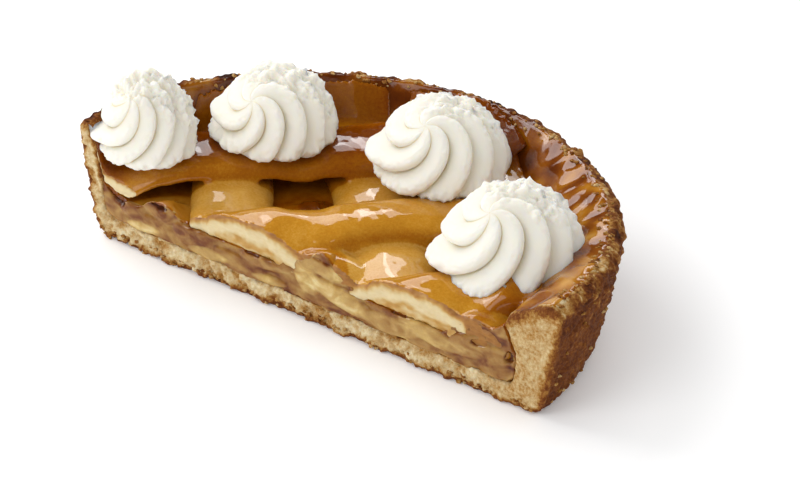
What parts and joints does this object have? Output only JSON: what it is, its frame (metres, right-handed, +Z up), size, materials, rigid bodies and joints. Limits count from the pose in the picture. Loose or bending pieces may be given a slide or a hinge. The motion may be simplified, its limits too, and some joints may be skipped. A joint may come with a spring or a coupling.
{
  "type": "half lattice apple pie",
  "caption": "Half of a round deep apple pie cut through the centre, with a glazed lattice top and piped cream rosettes.",
  "frame": {"origin": "on the flat underside, midway along the cut and midway from the cut to the back of the rim", "axes": "+X along the cut, towards the end with the broad rim; +Y from the cut to the rounded back; +Z up"},
  "size_m": [0.2387, 0.1227, 0.0728],
  "materials": {
    "browned_shortcrust": "dry, crumbly baked shortcrust",
    "apple_filling": "moist cooked apple",
    "glazed_lattice_dough": "baked dough under a clear glaze",
    "whipped_cream": "soft whipped cream"
  },
  "bodies": {
    "root": {"crust_case": "browned_shortcrust", "apple_filling": "apple_filling", "strip_under_1": "glazed_lattice_dough", "strip_under_2": "glazed_lattice_dough", "strip_under_3": "glazed_lattice_dough", "strip_over_1": "glazed_lattice_dough", "strip_over_2": "glazed_lattice_dough", "strip_over_3": "glazed_lattice_dough", "cream_1": "whipped_cream", "cream_2": "whipped_cream", "cream_3": "whipped_cream", "cream_4": "whipped_cream"}
  },
  "joints": []
}
